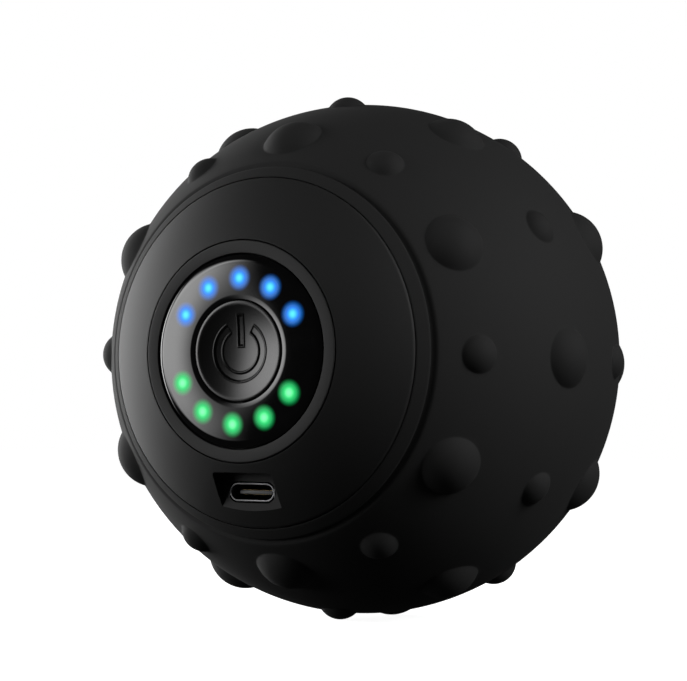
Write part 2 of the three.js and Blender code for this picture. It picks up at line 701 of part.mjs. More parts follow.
piece("battery_cell", alongX(cell().translate(0, cellAxis, 0)), cellWrap);

// ---------------------------------------------------------------- leads
function lead(points, steps) {
  const section = new THREE.Shape();
  Array.from({ length: 8 }, (_, i) => (i * Math.PI) / 4).forEach((angle, i) => {
    const [x, y] = [leadRadius * Math.cos(angle), leadRadius * Math.sin(angle)];
    i ? section.lineTo(x, y) : section.moveTo(x, y);
  });
  const extrudePath = new THREE.CatmullRomCurve3(points.map((point) => new THREE.Vector3(...point)));
  return new THREE.ExtrudeGeometry(section, { extrudePath, steps, curveSegments: 1 });
}

const leadEnd = underBoard - leadSocket.depth - 2 * GAP;

// From the end of the cell, round the end of the chassis and past the motor, up to the board.
const batteryLead = (shift) =>
  lead([
    [cellLength / 2 + 2 * GAP, shift, cellAxis],
    [cellLength / 2 + 2.4, shift + 1, cellAxis + 2.5],
    [34.6, shift + 5, -6],
    [33.4, shift + 8, 1],
    [30.2, shift + 11, 8],
    [24.6, shift + 12.6, 14.5],
    [leadSocket.x + 3, shift + leadSocket.y - 1, leadEnd - 3.6],
    [leadSocket.x, shift + leadSocket.y, leadEnd],
  ], 22);

// From the side of the motor by its end cap, up to the board.
const motorLead = (shift) =>
  lead([
    [1 - halfMotor + shift, motorRadius + GAP, motorAxis],
    [1 - halfMotor + shift, motorRadius + 2.2, motorAxis + 0.9],
    [shift - leadSocket.x, leadSocket.y, leadEnd - 6],
    [shift - leadSocket.x, leadSocket.y, leadEnd],
  ], 12);

piece("battery_lead_red", batteryLead(leadPitch / 2), redLead);
piece("battery_lead_black", batteryLead(-leadPitch / 2), blackLead);
piece("motor_lead_red", motorLead(leadPitch / 2), redLead);
piece("motor_lead_black", motorLead(-leadPitch / 2), blackLead);

// ---------------------------------------------------------------- placing
const massageBall = new THREE.Group();
ball.rotation.x = Math.PI / 2;
massageBall.add(ball);
const extent = new THREE.Box3().setFromObject(massageBall, true);
const middle = extent.getCenter(new THREE.Vector3());
ball.position.set(-middle.x, -middle.y, -extent.min.z);

export default massageBall;
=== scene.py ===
import json
import math

import bmesh
import bpy
from bpy.props import FloatProperty, FloatVectorProperty, IntProperty, PointerProperty
from mathutils import Matrix, Vector


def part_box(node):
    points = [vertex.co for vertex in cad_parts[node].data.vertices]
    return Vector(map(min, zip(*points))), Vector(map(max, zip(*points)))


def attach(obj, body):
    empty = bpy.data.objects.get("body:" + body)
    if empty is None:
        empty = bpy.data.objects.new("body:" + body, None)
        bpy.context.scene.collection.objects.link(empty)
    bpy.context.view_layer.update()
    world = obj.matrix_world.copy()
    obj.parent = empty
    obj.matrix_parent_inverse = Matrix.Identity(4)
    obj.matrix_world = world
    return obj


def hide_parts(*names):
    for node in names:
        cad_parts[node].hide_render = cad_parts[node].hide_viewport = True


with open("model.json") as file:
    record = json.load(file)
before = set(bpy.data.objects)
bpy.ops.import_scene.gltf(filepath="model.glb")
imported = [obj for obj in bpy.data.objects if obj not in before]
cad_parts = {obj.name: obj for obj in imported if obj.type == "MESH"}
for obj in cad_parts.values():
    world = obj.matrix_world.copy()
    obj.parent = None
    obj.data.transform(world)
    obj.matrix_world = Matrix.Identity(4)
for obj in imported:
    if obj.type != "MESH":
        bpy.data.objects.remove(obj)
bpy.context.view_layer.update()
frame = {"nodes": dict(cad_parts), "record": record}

bl_info = {
    "name": "Massage Ball",
    "version": (1, 0, 0),
    "blender": (4, 5, 0),
    "location": "View3D > Sidebar > Massage Ball",
    "description": "Builds the studded ball, its control panel and its charging port on the packed frame",
    "category": "Object",
}

# Lengths are in millimetres in the ball's own frame: +z out of the control panel, +y up, the origin at its
# centre. place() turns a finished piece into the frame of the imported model, in metres.
MM = 0.001
SHELL_GAP = 0.3  # between the silicone and the shell under it
SEAM = 0.16  # the fine line between two pieces that meet at the surface
LEDGE_THICKNESS = 2.0  # the ledge in the cap that the bezel and the lens sit on
LIGHT_DISTANCE = 0.9  # from the ball's centre to each light, m
NO_TURN = (0.0, 0.0, 0.0)


def node_size(name):
    low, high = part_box(name)
    return (high - low) / MM


def ball_centre():
    """The ball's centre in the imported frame: the rear half of the shell ends one radius behind it."""
    low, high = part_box("rear_housing")
    return Vector(((low.x + high.x) / 2, high.y - (high.x - low.x) / 2, (low.z + high.z) / 2))


CENTRE = ball_centre()
TO_FRAME = Matrix.Translation(CENTRE) @ Matrix.Rotation(math.pi / 2, 4, "X") @ Matrix.Scale(MM, 4)
CAP_RADIUS = node_size("front_cap").x / 2
BEZEL_RADIUS = node_size("bezel_ring").x / 2
LENS_RADIUS = node_size("panel_lens").x / 2
PORT_WIDTH = node_size("usb_shell").x
PORT_HEIGHT = node_size("usb_shell").z
TONGUE = node_size("usb_tongue")


def height_of(name, face=0):
    """How far a node's front face (0) or back face (1) stands from the ball's centre, along its axis."""
    return (CENTRE.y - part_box(name)[face].y) / MM


def middle_height(name):
    """How far a node's middle stands above the ball's centre."""
    low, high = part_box(name)
    return ((low.z + high.z) / 2 - CENTRE.z) / MM


# ---------------------------------------------------------------------- sizes and colours


class CoverSizes(bpy.types.PropertyGroup):
    radius: FloatProperty(
        name="Radius", description="Silicone surface between the studs, mm", default=46.0, min=30, max=80
    )
    wall: FloatProperty(name="Wall", description="Thickness of the silicone, mm", default=2.7, min=1, max=6)
    large_base: FloatProperty(
        name="Large stud radius", description="Radius of a large stud's foot, mm", default=5.27
    )
    large_height: FloatProperty(
        name="Large stud height", description="How far a large stud stands proud, mm", default=2.25
    )
    small_base: FloatProperty(
        name="Small stud radius", description="Radius of a small stud's foot, mm", default=3.27
    )
    small_height: FloatProperty(
        name="Small stud height", description="How far a small stud stands proud, mm", default=1.5
    )
    stud_fillet: FloatProperty(
        name="Stud fillet", description="Radius where a stud meets the ball, mm", default=0.55
    )
    first_ring: FloatProperty(
        name="First ring", description="From the cap's seam to the first studs, degrees", default=14.3
    )
    collar: FloatProperty(
        name="Collar", description="Width of the raised band round the cap, mm", default=1.9
    )
    groove: FloatProperty(
        name="Groove depth", description="Depth of the groove behind the collar, mm", default=0.55
    )
    groove_width: FloatProperty(
        name="Groove width", description="Width of the groove behind the collar, mm", default=1.5
    )
    facets: IntProperty(name="Facets", description="Facets round the ball", default=240, min=48, max=360)


class PanelSizes(bpy.types.PropertyGroup):
    bezel_width: FloatProperty(
        name="Bezel width", description="Width of the flat grey ring, mm", default=2.15
    )
    lens_edge: FloatProperty(
        name="Lens edge", description="Width of the lens's sloped edge, mm", default=1.35
    )
    lens_chamfer: FloatProperty(
        name="Lens chamfer", description="Width of the chamfer round the button, mm", default=0.7
    )
    button_radius: FloatProperty(
        name="Button radius", description="Radius of the power button, mm", default=8.6
    )
    button_dish: FloatProperty(
        name="Button dish", description="Depth of the dish in the button, mm", default=1.0
    )
    symbol_radius: FloatProperty(
        name="Symbol radius", description="Outer radius of the power symbol, mm", default=5.0
    )
    symbol_line: FloatProperty(
        name="Symbol line", description="Width of the power symbol's lines, mm", default=1.2
    )
    symbol_depth: FloatProperty(name="Symbol depth", description="Depth of the engraving, mm", default=0.12)
    light_circle: FloatProperty(
        name="Light circle", description="Radius of the circle of lights, mm", default=12.4
    )
    light_step: FloatProperty(
        name="Light step", description="From one light to the next, degrees", default=30.0
    )
    battery_turn: FloatProperty(
        name="Battery turn", description="The lower lights' turn from straight down, degrees", default=4.0
    )
    light_spread: FloatProperty(
        name="Light spread", description="Radius at which a light's glow ends, mm", default=2.45
    )


class Finishes(bpy.types.PropertyGroup):
    silicone: FloatVectorProperty(
        name="Silicone", description="Colour of the cover", subtype="COLOR", default=(0.0125, 0.0125, 0.013)
    )
    cap: FloatVectorProperty(
        name="Cap", description="Colour of the rigid cap", subtype="COLOR", default=(0.014, 0.014, 0.0145)
    )
    bezel: FloatVectorProperty(
        name="Bezel", description="Colour of the flat ring", subtype="COLOR", default=(0.039, 0.039, 0.041)
    )
    gloss: FloatVectorProperty(
        name="Gloss black",
        description="Colour of the lens and the button",
        subtype="COLOR",
        default=(0.003, 0.003, 0.0032),
    )
    blue: FloatVectorProperty(
        name="Speed lights",
        description="Colour of the upper lights",
        subtype="COLOR",
        default=(0.0, 0.24, 1.0),
    )
    green: FloatVectorProperty(
        name="Battery lights",
        description="Colour of the lower lights",
        subtype="COLOR",
        default=(0.0, 0.78, 0.18),
    )


class StageSizes(bpy.types.PropertyGroup):
    azimuth: FloatProperty(
        name="Azimuth", description="Camera's turn round the ball, degrees", default=30.5
    )
    elevation: FloatProperty(name="Elevation", description="Camera's height angle, degrees", default=-1.55)
    distance: FloatProperty(name="Distance", description="Camera to the ball's centre, mm", default=510.6)
    lens: FloatProperty(name="Lens", description="Focal length, mm", default=147.3)
    roll: FloatProperty(name="Roll", description="Camera's roll, degrees", default=0.92)
    shift_x: FloatProperty(name="Shift x", description="Share of the picture's width", default=-0.032)
    shift_y: FloatProperty(name="Shift y", description="Share of the picture's width", default=0.027)


SETTINGS = {
    "ball_cover": CoverSizes,
    "ball_panel": PanelSizes,
    "ball_finish": Finishes,
    "ball_stage": StageSizes,
}


# ---------------------------------------------------------------------- modelling helpers


def deselect():
    for thing in bpy.context.selected_objects:
        thing.select_set(False)


def make_active(thing):
    deselect()
    thing.select_set(True)
    bpy.context.view_layer.objects.active = thing
    return thing


def edit(thing):
    make_active(thing)
    bpy.ops.object.mode_set(mode="EDIT")


def finish_edit():
    bpy.ops.object.mode_set(mode="OBJECT")


def new_piece(name):
    """The object that the last operator added, named."""
    thing = bpy.context.active_object
    thing.name = thing.data.name = name
    return thing


def pick(thing, kind, test):
    """In edit mode, selects the edges or faces that pass a test on their middle and direction."""
    bpy.ops.mesh.select_mode(type={"edges": "EDGE", "faces": "FACE"}[kind])
    bpy.ops.mesh.select_all(action="DESELECT")
    mesh = bmesh.from_edit_mesh(thing.data)
    for item in getattr(mesh, kind):
        if kind == "faces":
            middle, way = item.calc_center_median(), item.normal
        else:
            start, end = (vertex.co for vertex in item.verts)
            middle, way = (start + end) / 2, (end - start).normalized()
        if test(middle, way):
            item.select_set(True)
    mesh.select_flush_mode()
    bmesh.update_edit_mesh(thing.data)


def lathe(name, profile, facets, closed=True):
    """A solid of revolution about z: one vertex is extruded along (radius, height) points, then spun."""
    mesh = bpy.data.meshes.new(name)
    thing = bpy.data.objects.new(name, mesh)
    bpy.context.scene.collection.objects.link(thing)
    outline = list(profile) + ([profile[0]] if closed else [])
    mesh.from_pydata([(r, 0.0, z) for r, z in outline[:1]], [], [])
    edit(thing)
    bpy.ops.mesh.select_mode(type="VERT")
    bpy.ops.mesh.select_all(action="SELECT")
    for (r0, z0), (r1, z1) in zip(outline, outline[1:]):
        bpy.ops.mesh.extrude_region_move(TRANSFORM_OT_translate={"value": (r1 - r0, 0.0, z1 - z0)})
    bpy.ops.mesh.select_all(action="SELECT")
    bpy.ops.mesh.spin(steps=facets, angle=2 * math.pi, center=NO_TURN, axis=(0, 0, 1))
    clean(thing)
    finish_edit()
    return thing


def clean(thing, distance=0.002):
    bpy.ops.mesh.select_all(action="SELECT")
    bpy.ops.mesh.remove_doubles(threshold=distance)
    bpy.ops.mesh.dissolve_degenerate(threshold=distance / 4)
    bpy.ops.mesh.select_all(action="SELECT")
    bpy.ops.mesh.normals_make_consistent(inside=False)


def arc(centre, radius, start, end, steps):
    """Points of an arc in a profile, from one angle off the z axis to another, in degrees."""
    angles = [math.radians(start + (end - start) * i / steps) for i in range(steps + 1)]
    return [(centre[0] + radius * math.sin(a), centre[1] + radius * math.cos(a)) for a in angles]


def rounded(profile, corners, steps=4):
    """A profile with some of its corners rounded: corners maps a point's index to a radius."""
    made = []
    for i, here in enumerate(profile):
        if i not in corners:
            made.append(here)
            continue
        point = Vector(here)
        back = (Vector(profile[i - 1]) - point).normalized()
        ahead = (Vector(profile[(i + 1) % len(profile)]) - point).normalized()
        half = back.angle(ahead) / 2
        reach = corners[i] / math.tan(half)
        middle = point + (back + ahead).normalized() * corners[i] / math.sin(half)
        first, last = point + back * reach - middle, point + ahead * reach - middle
        turn = first.angle_signed(last)
        for k in range(steps + 1):
            step = Matrix.Rotation(-turn * k / steps, 2) @ first
            made.append(tuple(middle + step))
    return made


def box_piece(name, x_range, y_range, z_range):
    middle = [(a + b) / 2 for a, b in (x_range, y_range, z_range)]
    size = [b - a for a, b in (x_range, y_range, z_range)]
    deselect()
    bpy.ops.mesh.primitive_cube_add(size=1, location=middle, scale=size)
    thing = new_piece(name)
    bpy.ops.object.transform_apply(location=True, rotation=False, scale=True)
    return thing


def bevel_edges(thing, test, width, segments=4):
    edit(thing)
    pick(thing, "edges", test)
    bpy.ops.mesh.bevel(offset=width, segments=segments, affect="EDGES")
    finish_edit()


def apply_boolean(thing, tools, operation):
    """Joins or cuts tools with a piece, and removes them."""
    for tool in tools:
        make_active(thing)
        modifier = thing.modifiers.new("shape", "BOOLEAN")
        modifier.operation = operation
        modifier.solver = "MANIFOLD"
        modifier.object = tool
        bpy.ops.object.modifier_apply(modifier=modifier.name)
        bpy.data.objects.remove(tool)
    return thing


def joined(name, things):
    deselect()
    for thing in things:
        thing.select_set(True)
    bpy.context.view_layer.objects.active = things[0]
    if len(things) > 1:
        bpy.ops.object.join()
    return new_piece(name)


def place(thing, angle=35.0):
    """Moves a piece from the ball's frame to where it belongs, with its place in its mesh, and smooths it."""
    make_active(thing)
    thing.matrix_world = TO_FRAME @ thing.matrix_world
    bpy.ops.object.transform_apply(location=True, rotation=True, scale=True)
    bpy.ops.object.shade_smooth_by_angle(angle=math.radians(angle))
    return thing


def register_piece(thing, body, nodes, material):
    thing.data.materials.clear()
    thing.data.materials.append(material)
    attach(thing, body)
    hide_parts(*nodes)
    return thing


# ---------------------------------------------------------------------- material helpers


class Socket:
    """A shader socket that maths can be written on: each operator adds the Math node that does it."""

    def __init__(self, graph, socket):
        self.graph = graph
        self.socket = socket

    def math(self, operation, *others):
        values = dict(enumerate((self, *others)))
        return self.graph.node("ShaderNodeMath", {"operation": operation}, values)

    def __add__(self, other):
        return self.math("ADD", other)

    __radd__ = __add__

    def __mul__(self, other):
        return self.math("MULTIPLY", other)

    __rmul__ = __mul__

    def __sub__(self, other):
        return self.math("SUBTRACT", other)

    def __rsub__(self, other):
        return (self * -1.0) + other

    def __truediv__(self, other):
        return self.math("DIVIDE", other)

    def __pow__(self, other):
        return self.math("POWER", other)


class Graph:
    """A material's nodes, made through one method."""

    def __init__(self, name):
        self.material = bpy.data.materials.new(name)
        self.material.use_nodes = True
        self.tree = self.material.node_tree
        self.surface = self.tree.nodes["Principled BSDF"]

    def node(self, kind, settings=None, inputs=None, output=0):
        made = self.tree.nodes.new(kind)
        for key, value in (settings or {}).items():
            setattr(made, key, value)
        for key, value in (inputs or {}).items():
            self.feed(made.inputs[key], value)
        return Socket(self, made.outputs[output])

    def feed(self, target, value):
        if isinstance(value, Socket):
            self.tree.links.new(value.socket, target)
        else:
            target.default_value = value

    def shade(self, **values):
        for key, value in values.items():
            self.feed(self.surface.inputs[key.replace("_", " ")], value)
        return self.material

    def place(self, offset=(0, 0, 0), turn=NO_TURN):
        """Object coordinates, moved and turned, so that a pattern is centred on its piece."""
        position = self.node("ShaderNodeTexCoord", output=3)
        inputs = {"Vector": position, "Location": offset, "Rotation": turn}
        return self.node("ShaderNodeMapping", inputs=inputs)

    def noise(self, scale, detail=2.0, roughness=0.5, where=None):
        inputs = {"Vector": where or self.place(), "Scale": scale, "Detail": detail, "Roughness": roughness}
        return self.node("ShaderNodeTexNoise", inputs=inputs)

    def smoothstep(self, value, low, high, start=0.0, end=1.0):
        settings = {"interpolation_type": "SMOOTHSTEP"}
        inputs = {"Value": value, "From Min": low, "From Max": high, "To Min": start, "To Max": end}
        return self.node("ShaderNodeMapRange", settings, inputs)

    def mix(self, factor, first, second):
        """A blend of two colours."""
        inputs = {0: factor, 6: colour(first), 7: colour(second)}
        return self.node("ShaderNodeMix", {"data_type": "RGBA"}, inputs, output=2)

    def bump(self, height, distance, over=None):
        inputs = {"Height": height, "Distance": distance, "Strength": 1.0}
        if over is not None:
            inputs["Normal"] = over
        return self.node("ShaderNodeBump", inputs=inputs)


def colour(value):
    return value if isinstance(value, Socket) else (*value[:3], 1.0)


def shaded(value, factor):
    return tuple(part * factor for part in value[:3])


# ---------------------------------------------------------------------- finishes


def fine_grain(graph, scale, distance):
    """The even texture of a spark-eroded mould."""
    return graph.bump(graph.noise(scale, detail=3.0, roughness=0.6), distance)


def silicone_finish(name, base):
    graph = Graph(name)
    clouds = graph.noise(38.0, detail=4.0)
    where = {"Vector": graph.place(), "Scale": 900.0}
    specks = graph.node("ShaderNodeTexVoronoi", {"feature": "F1"}, where)
    dust = graph.smoothstep(specks, 0.0, 0.06, 1.0, 0.0) * graph.smoothstep(graph.noise(120.0), 0.56, 0.66)
    tone = graph.mix(clouds, shaded(base, 0.86), shaded(base, 1.16))
    skin = fine_grain(graph, 5200.0, 0.000012)
    swell = graph.bump(graph.noise(150.0), 0.00002, over=skin)
    return graph.shade(
        Base_Color=graph.mix(dust * 0.35, tone, shaded(base, 4.0)),
        Roughness=graph.smoothstep(clouds, 0.3, 0.7, 0.5, 0.58) + dust * 0.15,
        Normal=swell,
        Specular_IOR_Level=0.42,
    )


def moulded_finish(name, base, roughness=0.5, grain=0.00001, grain_scale=4200.0, spread=0.12, specular=0.5):
    """Satin moulded plastic: slow changes of tone and gloss, and a fine even texture."""
    graph = Graph(name)
    flow = graph.noise(55.0, detail=3.0)
    rub = graph.smoothstep(graph.noise(420.0, detail=4.0, roughness=0.65), 0.5, 0.72)
    return graph.shade(
        Base_Color=graph.mix(flow, shaded(base, 1 - spread), shaded(base, 1 + spread)),
        Roughness=graph.smoothstep(flow, 0.3, 0.7, roughness - 0.03, roughness + 0.03) - rub * 0.05,
        Normal=fine_grain(graph, grain_scale, grain),
        Specular_IOR_Level=specular,
    )


def gloss_nodes(name, base):
    """Polished black plastic with the faint greasy touches that a lens always has."""
    graph = Graph(name)
    touches = graph.smoothstep(graph.noise(210.0, detail=5.0, roughness=0.6), 0.46, 0.74)
    swirl = graph.noise(2600.0, detail=1.0)
    graph.shade(
        Base_Color=graph.mix(touches, base, shaded(base, 1.8)),
        Roughness=touches * 0.05 + swirl * 0.015 + 0.055,
        Normal=graph.bump(graph.noise(60.0, detail=1.0), 0.000008),
        Coat_Weight=0.3,
        Coat_Roughness=0.04,
    )
    return graph


def lit_spots(graph, panel, finish):
    """The glow of the lights behind the lens, painted on the lens as emission: a pale core in a coloured
    glow, five above and five below.
    """
    where = graph.node("ShaderNodeSeparateXYZ", inputs={"Vector": graph.place(offset=-CENTRE)})
    across = Socket(graph, where.socket.node.outputs["X"]) / MM
    up = Socket(graph, where.socket.node.outputs["Z"]) / MM
    reach = (across * across + up * up) ** 0.5
    turn = across.math("ARCTAN2", up)
    step = math.radians(panel.light_step)
    lower = graph.smoothstep(turn.math("ABSOLUTE"), math.radians(84), math.radians(86))
    turn = turn - lower * math.radians(panel.battery_turn)
    off = turn - (turn / step).math("ROUND") * step
    along = reach * off.math("COSINE") - panel.light_circle
    aside = reach * off.math("SINE")
    away = (along * along + aside * aside) ** 0.5
    side = turn.math("ABSOLUTE")
    above = graph.smoothstep(side, math.radians(74), math.radians(76), 1.0, 0.0)
    below = graph.smoothstep(side, math.radians(104), math.radians(106), 0.0, 1.0)
    glow = graph.smoothstep(away, 0.35, panel.light_spread, 1.0, 0.0)
    core = graph.smoothstep(away, 0.1, 1.2, 1.0, 0.0)
    blue = graph.mix(core, shaded(finish.blue, 1.25), (0.1, 0.9, 1.3))
    green = graph.mix(core, shaded(finish.green, 1.15), (0.26, 1.15, 0.5))
    unlit = (0.0, 0.0, 0.0)
    frost = glow * (above + below)
    return graph.shade(
        # painted glow: this emission colour stands in for the light of the lights shining through the lens
        Emission_Color=graph.mix(glow * below, graph.mix(glow * above, unlit, blue), green),
        Emission_Strength=1.0,
        Coat_Weight=frost * -0.3 + 0.3,
        Roughness=frost * 0.5 + 0.07,
    )


def light_finish(name, base):
    """A clear rod lit from behind, its glow painted on as emission that is brighter and dimmer in noise
    streaks.
    """
    graph = Graph(name)
    streaks = graph.noise(900.0, detail=2.0)
    return graph.shade(
        Base_Color=graph.mix(streaks, shaded(base, 0.7), base),
        Roughness=streaks * 0.1 + 0.15,
        # painted glow: emission on the rod in place of the light that shines into it from behind
        Emission_Color=graph.mix(streaks, shaded(base, 0.6), base),
        Emission_Strength=0.8,
        Normal=graph.bump(streaks, 0.00001),
    )


def metal_finish(name, base, roughness, brushed=(1.0, 1.0, 1.0), grain=0.000004):
    """Metal with a worn skin: the grain is stretched along the axis that has the smallest number."""
    graph = Graph(name)
    where = graph.node("ShaderNodeVectorMath", {"operation": "MULTIPLY"}, {0: graph.place(), 1: brushed})
    lines = graph.noise(2400.0, detail=3.0, roughness=0.6, where=where)
    stain = graph.smoothstep(graph.noise(160.0, detail=4.0), 0.42, 0.7)
    return graph.shade(
        Base_Color=graph.mix(stain, base, shaded(base, 0.72)),
        Metallic=1.0,
        Roughness=lines * 0.12 + stain * 0.1 + roughness,
        Normal=graph.bump(lines, grain),
    )


def board_finish(name, base):
    """Solder mask over copper: tracks show as paler lines, with rows of tinned vias."""
    graph = Graph(name)
    spot = graph.place(offset=-CENTRE)
    black, white = (0, 0, 0, 1), (1, 1, 1, 1)
    bricks = {"Scale": 260.0, "Mortar Size": 0.035, "Brick Width": 0.9, "Row Height": 0.4}
    bricks.update({"Color1": black, "Color2": black, "Mortar": white})
    turned = graph.place(offset=-CENTRE, turn=(math.pi / 2, 0.0, 0.0))
    tracks = graph.node("ShaderNodeTexBrick", inputs={**bricks, "Vector": turned})
    cells = graph.node("ShaderNodeTexVoronoi", {"feature": "F1"}, {"Vector": spot, "Scale": 330.0})
    vias = graph.smoothstep(cells, 0.1, 0.14, 1.0, 0.0)
    return graph.shade(
        Base_Color=graph.mix(vias, graph.mix(tracks, base, shaded(base, 2.2)), (0.75, 0.72, 0.62)),
        Metallic=vias * 0.9,
        Roughness=graph.noise(700.0) * 0.12 + 0.28,
        Normal=graph.bump(tracks, 0.00002),
        Coat_Weight=0.4,
    )


def sleeve_finish(name, base):
    """Heat-shrunk film: glossy, with slight folds and a seam of dull wear."""
    graph = Graph(name)
    folds = graph.noise(240.0, detail=2.0)
    rub = graph.smoothstep(graph.noise(520.0, detail=4.0, roughness=0.7), 0.55, 0.75)
    return graph.shade(
        Base_Color=graph.mix(rub, base, shaded(base, 1.5)),
        Roughness=rub * 0.3 + 0.2,
        Normal=graph.bump(folds, 0.00003),
        Coat_Weight=0.5,
    )


def make_finishes():
    finish = bpy.context.scene.ball_finish
    panel = bpy.context.scene.ball_panel
    base = {m["slot"]: tuple(m["base_color"][:3]) for m in frame["record"]["materials"]}
    gloss = tuple(finish.gloss)
    silicone_finish("silicone", tuple(finish.silicone))
    moulded_finish("cap_plastic", tuple(finish.cap), 0.4, grain=0.000008, specular=0.5)
    moulded_finish("bezel_plastic", tuple(finish.bezel), 0.5, grain=0.000009, grain_scale=5200.0)
    gloss_nodes("gloss_black", gloss)
    lit_spots(gloss_nodes("lens_black", gloss), panel, finish)
    moulded_finish("shell_plastic", base["shell_plastic"], 0.55, grain=0.00002, grain_scale=2600.0)
    moulded_finish("frame_plastic", base["frame_plastic"], 0.5, grain=0.00002, spread=0.04)
    moulded_finish("black_plastic", base["black_plastic"], 0.5)
    light_finish("blue_light", tuple(finish.blue))
    light_finish("green_light", tuple(finish.green))
    board_finish("circuit_board", base["circuit_board"])
    metal_finish("steel", base["steel"], 0.24, brushed=(0.05, 1.0, 1.0))
    metal_finish("port_steel", (0.2, 0.2, 0.205), 0.34)
    metal_finish("contact_gold", (0.72, 0.52, 0.24), 0.25)
    moulded_finish("tongue_plastic", (0.13, 0.13, 0.135), 0.38)
    metal_finish("zinc_alloy", base["zinc_alloy"], 0.4, grain=0.00003)
    sleeve_finish("cell_sleeve", base["cell_sleeve"])
    moulded_finish("red_insulation", base["red_insulation"], 0.4, grain_scale=2000.0)
    moulded_finish("black_insulation", base["black_insulation"], 0.4, grain_scale=2000.0)


# ---------------------------------------------------------------------- silicone cover


def on_sphere(radius, reach):
    return math.sqrt(radius**2 - reach**2)


def polar_of(radius, reach):
    return math.degrees(math.asin(reach / radius))


def cover_profile(cover):
    """From the outer pole to the collar, over the seam's lip, and back along the inside."""
    radius = cover.radius
    opening = CAP_RADIUS + SEAM
    collar_foot = polar_of(radius, opening + cover.collar)
    groove_end = collar_foot + math.degrees(cover.groove_width / radius)
    inner = radius - cover.wall
    steps = 8
    points = arc((0, 0), radius, 180, groove_end, 118)
    for i in range(1, steps + 1):
        depth = cover.groove * (1 - math.cos(math.pi * i / steps)) / 2
        at = groove_end + (collar_foot - groove_end) * i / steps
        points += arc((0, 0), radius - depth, at, 0, 1)[:1]
    edge = 0.16  # round on the collar's two edges
    shoulder = math.degrees(edge / radius)
    points += arc((0, 0), radius - edge, collar_foot, collar_foot, 1)[:1]
    points += arc((0, 0), radius - edge * 0.3, collar_foot - shoulder * 0.3, 0, 1)[:1]
    points += arc((0, 0), radius, collar_foot - shoulder, polar_of(radius, opening) + shoulder, 8)
    points += arc((0, 0), radius - edge * 0.3, polar_of(radius, opening) + shoulder * 0.3, 0, 1)[:1]
    points += [(opening, on_sphere(radius, opening) - edge), (opening, on_sphere(inner, opening))]
    points += arc((0, 0), inner, polar_of(inner, opening), 180, 48)[1:]
    return [(max(r, 0.0) if i not in (0, len(points) - 1) else 0.0, z) for i, (r, z) in enumerate(points)]


def stud(name, cover, base, height, facets):
    """A stud standing at the pole: a dome, a fillet at its foot, and a root inside the silicone."""
    radius, fillet = cover.radius, cover.stud_fillet
    rise = radius + height - on_sphere(radius, base)
    dome = (base**2 + rise**2) / (2 * rise)
    centre = radius + height - dome
    high = ((radius + fillet) ** 2 - (dome + fillet) ** 2 + centre**2) / (2 * centre)
    out = math.sqrt((radius + fillet) ** 2 - high**2)
    on_dome = math.degrees(math.atan2(out, high - centre))
    on_ball = math.degrees(math.atan2(out, high))
    points = arc((0, centre), dome, 0, on_dome, 12)
    points += arc((out, high), fillet, 180 + on_dome, 180 + on_ball, 6)[1:]
    root_reach = points[-1][0]
    root_height = points[-1][1] - cover.wall / 2
    points += [(root_reach, root_height), (0.0, root_height)]
    sunk = 0.012  # puts the fillet's edge just under the ball's facets
    return lathe(name, [(r, z - sunk) for r, z in points], facets, closed=False)


def stud_places(cover):
    """Each stud's angle from the panel's axis, its turn round it, and whether it is a large one."""
    rings = [(12, "even"), (12, "odd"), (12, "even"), (12, "odd"), (6, "all"), (1, "all")]
    first = polar_of(cover.radius, CAP_RADIUS) + cover.first_ring
    for i, (columns, large) in enumerate(rings):
        polar = first + (180 - first) * i / (len(rings) - 1)
        for column in range(columns):
            is_large = large == "all" or (large == "even") == (column % 2 == 0)
            yield polar, 360 * column / columns, is_large


class BALL_OT_cover(bpy.types.Operator):
    """Makes the silicone cover: a thick sphere open at the cap, its collar and groove, and its studs"""

    bl_idname = "ball.cover"
    bl_label = "Silicone Cover"

    def execute(self, context):
        cover = context.scene.ball_cover
        body = lathe("silicone_skin", cover_profile(cover), cover.facets, closed=False)
        large = stud("large_stud", cover, cover.large_base, cover.large_height, 56)
        small = stud("small_stud", cover, cover.small_base, cover.small_height, 40)
        studs = []
        for polar, turn, is_large in stud_places(cover):
            pattern = large if is_large else small
            copy = pattern.copy()
            copy.data = pattern.data.copy()
            context.scene.collection.objects.link(copy)
            spin = Matrix.Rotation(math.radians(-turn), 4, "Z")
            copy.data.transform(spin @ Matrix.Rotation(math.radians(-polar), 4, "X"))
            studs.append(copy)
        for pattern in (large, small):
            bpy.data.objects.remove(pattern)
        apply_boolean(body, [joined("studs", studs)], "UNION")
        place(body, angle=60)
        register_piece(body, "ball", ["silicone_cover"], bpy.data.materials["silicone"])
        return {"FINISHED"}


# ---------------------------------------------------------------------- front cap


def stadium(name, width, height, middle_y, low, high, segments=10):
    """A flat-sided oval prism about the port's place: a plane with its corners rounded, then extruded."""
    deselect()
    bpy.ops.mesh.primitive_plane_add(size=1, location=(0, middle_y, low), scale=(1, 1, 1))
    thing = new_piece(name)
    thing.scale = (width, height, 1)
    bpy.ops.object.transform_apply(location=True, rotation=False, scale=True)
    edit(thing)
    bpy.ops.mesh.select_all(action="SELECT")
    bpy.ops.mesh.bevel(offset=height / 2 - 0.002, segments=segments, affect="VERTICES")
    bpy.ops.mesh.select_all(action="SELECT")
    bpy.ops.mesh.extrude_region_move(TRANSFORM_OT_translate={"value": (0, 0, high - low)})
    bpy.ops.mesh.select_all(action="SELECT")
    bpy.ops.mesh.normals_make_consistent(inside=False)
    finish_edit()
    return thing


def along_axis(middle, way):
    return abs(way.z) > 0.99


